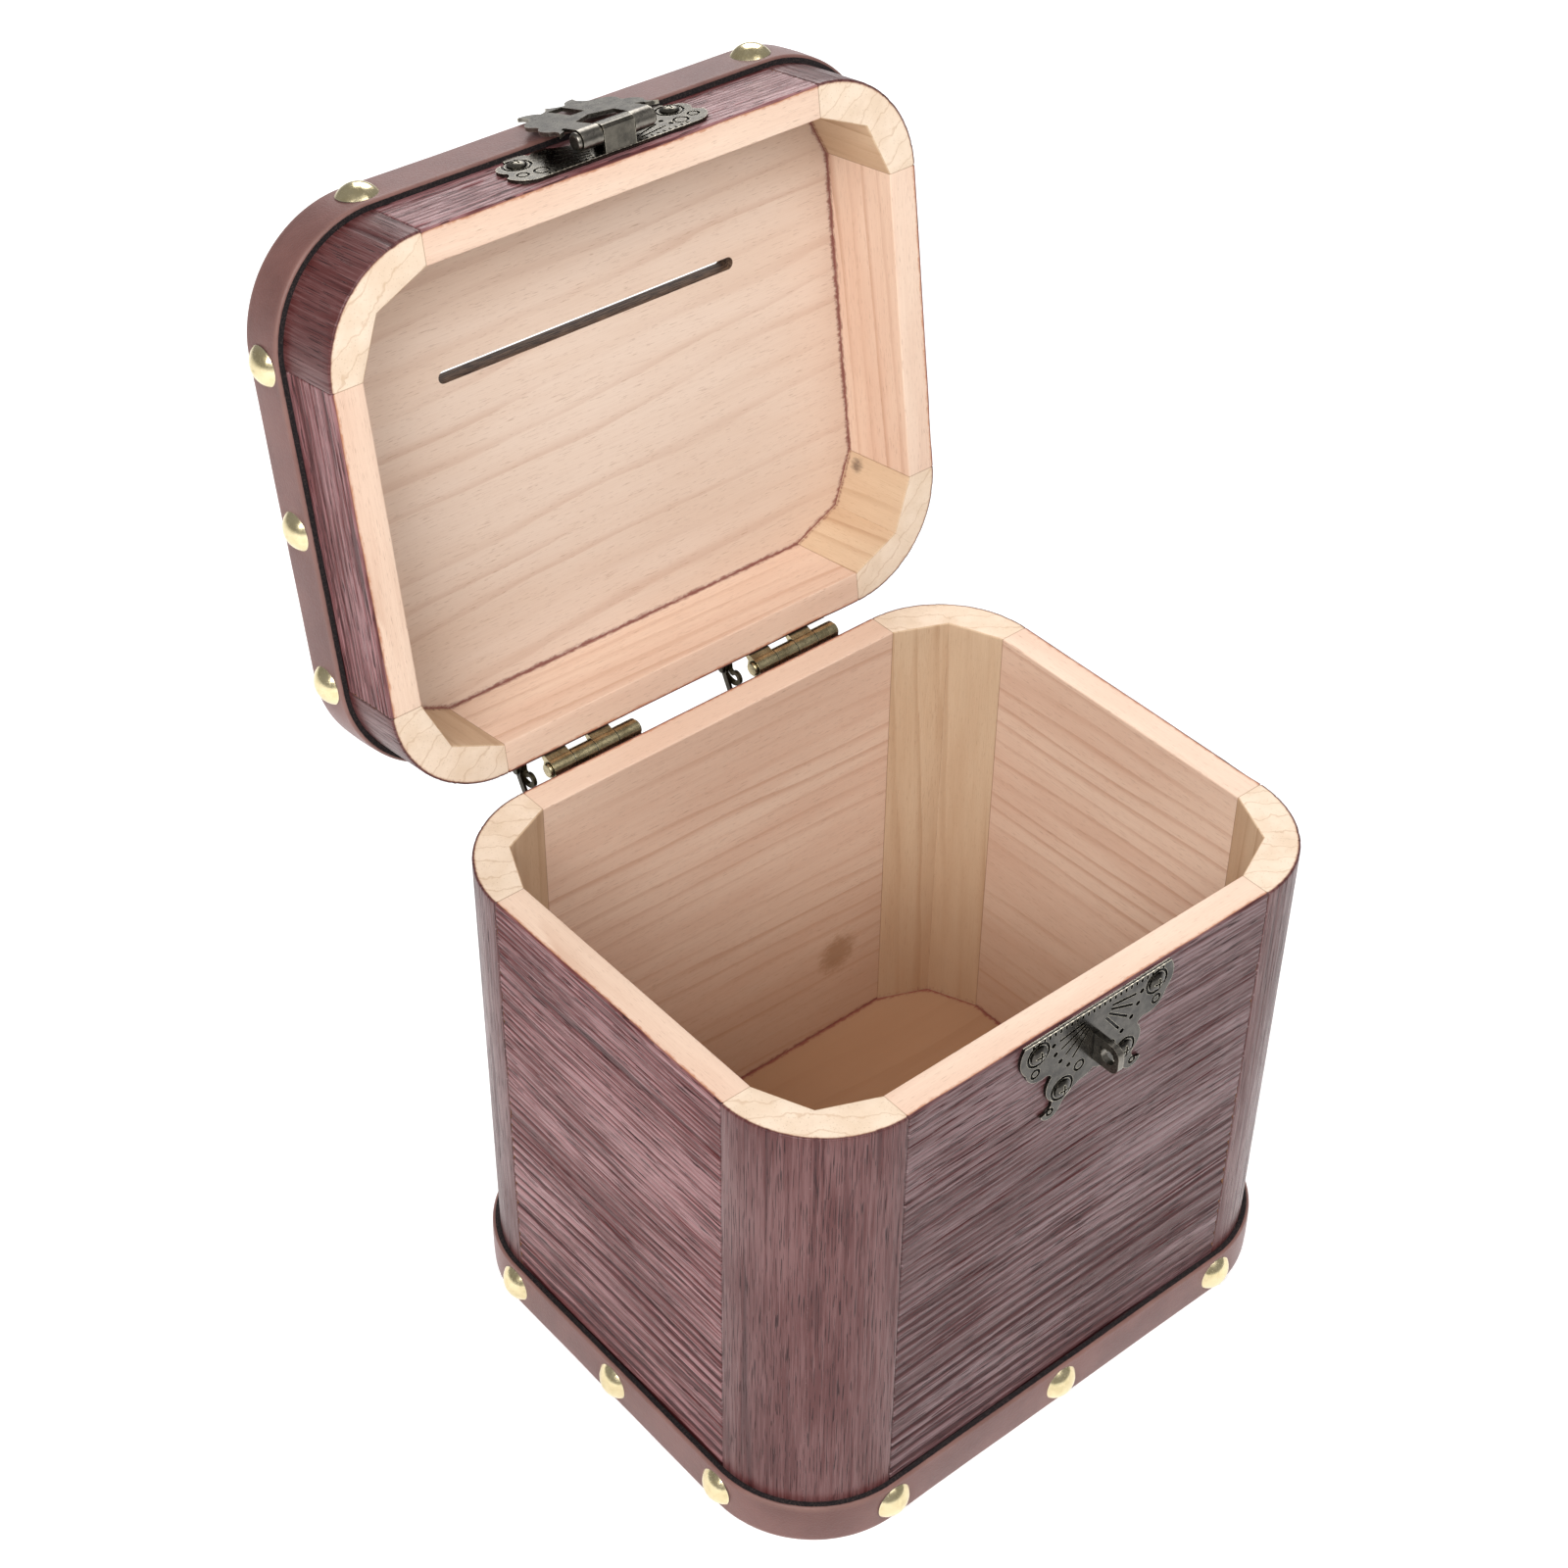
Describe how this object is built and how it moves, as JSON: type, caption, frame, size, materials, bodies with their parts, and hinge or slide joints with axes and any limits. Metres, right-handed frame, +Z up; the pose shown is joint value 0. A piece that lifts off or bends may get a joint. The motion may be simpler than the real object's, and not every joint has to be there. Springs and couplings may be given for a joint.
{
  "type": "donation box",
  "caption": "Round-cornered wooden donation box with a hinged lid standing open, a coin slot in the lid, leather bands with brass tacks, a hasp and staple.",
  "frame": {"origin": "centre of the footprint, on the underside", "axes": "+Z up; the hasp side faces -Y; +X is to the right seen from the hasp side; the lid hinges run along X at the back, +Y"},
  "size_m": [0.1688, 0.1943, 0.2693],
  "materials": {
    "stained_board": "stained outside, bare inside",
    "stained_stave": "stained outside, bare inside",
    "panel_wood": "bare, sanded",
    "band_leather": "grained",
    "tack_brass": "pale satin",
    "hinge_brass": "antiqued",
    "hasp_bronze": "dark antique bronze, bright worn edges"
  },
  "bodies": {
    "base": {"base_back_board": "stained_board", "base_back_left_stave_back": "stained_stave", "base_back_left_stave_left": "stained_stave", "base_back_right_stave_back": "stained_stave", "base_back_right_stave_right": "stained_stave", "base_band": "band_leather", "base_front_board": "stained_board", "base_front_left_stave_front": "stained_stave", "base_front_left_stave_left": "stained_stave", "base_front_right_stave_front": "stained_stave", "base_front_right_stave_right": "stained_stave", "base_left_board": "stained_board", "base_right_board": "stained_board", "base_tacks": "tack_brass", "bottom_panel": "panel_wood", "hinge_box_screws": "hinge_brass", "left_hinge_box_leaf": "hinge_brass", "left_hinge_pin": "hinge_brass", "left_stay_pivot_rivet": "hinge_brass", "right_hinge_box_leaf": "hinge_brass", "right_hinge_pin": "hinge_brass", "right_stay_pivot_rivet": "hinge_brass", "staple": "hasp_bronze", "staple_plate": "hasp_bronze", "staple_plate_screws": "hasp_bronze"},
    "lid": {"hasp_pin": "hasp_bronze", "hasp_plate": "hasp_bronze", "hasp_plate_screws": "hasp_bronze", "hinge_lid_screws": "hinge_brass", "left_hinge_lid_leaf": "hinge_brass", "lid_back_board": "stained_board", "lid_back_left_stave_back": "stained_stave", "lid_back_left_stave_left": "stained_stave", "lid_back_right_stave_back": "stained_stave", "lid_back_right_stave_right": "stained_stave", "lid_band": "band_leather", "lid_front_board": "stained_board", "lid_front_left_stave_front": "stained_stave", "lid_front_left_stave_left": "stained_stave", "lid_front_right_stave_front": "stained_stave", "lid_front_right_stave_right": "stained_stave", "lid_left_board": "stained_board", "lid_panel": "panel_wood", "lid_right_board": "stained_board", "lid_tacks": "tack_brass", "right_hinge_lid_leaf": "hinge_brass"},
    "hasp_flap": {"hasp_flap": "hasp_bronze"},
    "left_stay": {"left_stay_link": "hinge_brass", "left_stay_slide_rivet": "hinge_brass"},
    "right_stay": {"right_stay_link": "hinge_brass", "right_stay_slide_rivet": "hinge_brass"}
  },
  "joints": [
    {"name": "lid_hinge", "type": "hinge", "parent": "base", "child": "lid", "pos_m": [0, 0.0692, 0.1292], "axis": [1, 0, 0], "range_deg": [0, 98.3]},
    {"name": "hasp_hinge", "type": "hinge", "parent": "lid", "child": "hasp_flap", "pos_m": [0, 0.09492, 0.26673], "axis": [1, 0, 0], "range_deg": [0, 188.5]},
    {"name": "left_stay_swing", "type": "hinge", "parent": "base", "child": "left_stay", "pos_m": [-0.0485, 0.0701, 0.1217], "axis": [1, 0, 0], "range_deg": [0, 27.76]},
    {"name": "right_stay_swing", "type": "hinge", "parent": "base", "child": "right_stay", "pos_m": [0.0125, 0.0701, 0.1217], "axis": [1, 0, 0], "range_deg": [0, 27.76]}
  ],
  "couplings": [
    {"joint": "left_stay_swing", "follows": "lid_hinge", "ratio": 0.28239},
    {"joint": "right_stay_swing", "follows": "lid_hinge", "ratio": 0.28239}
  ]
}
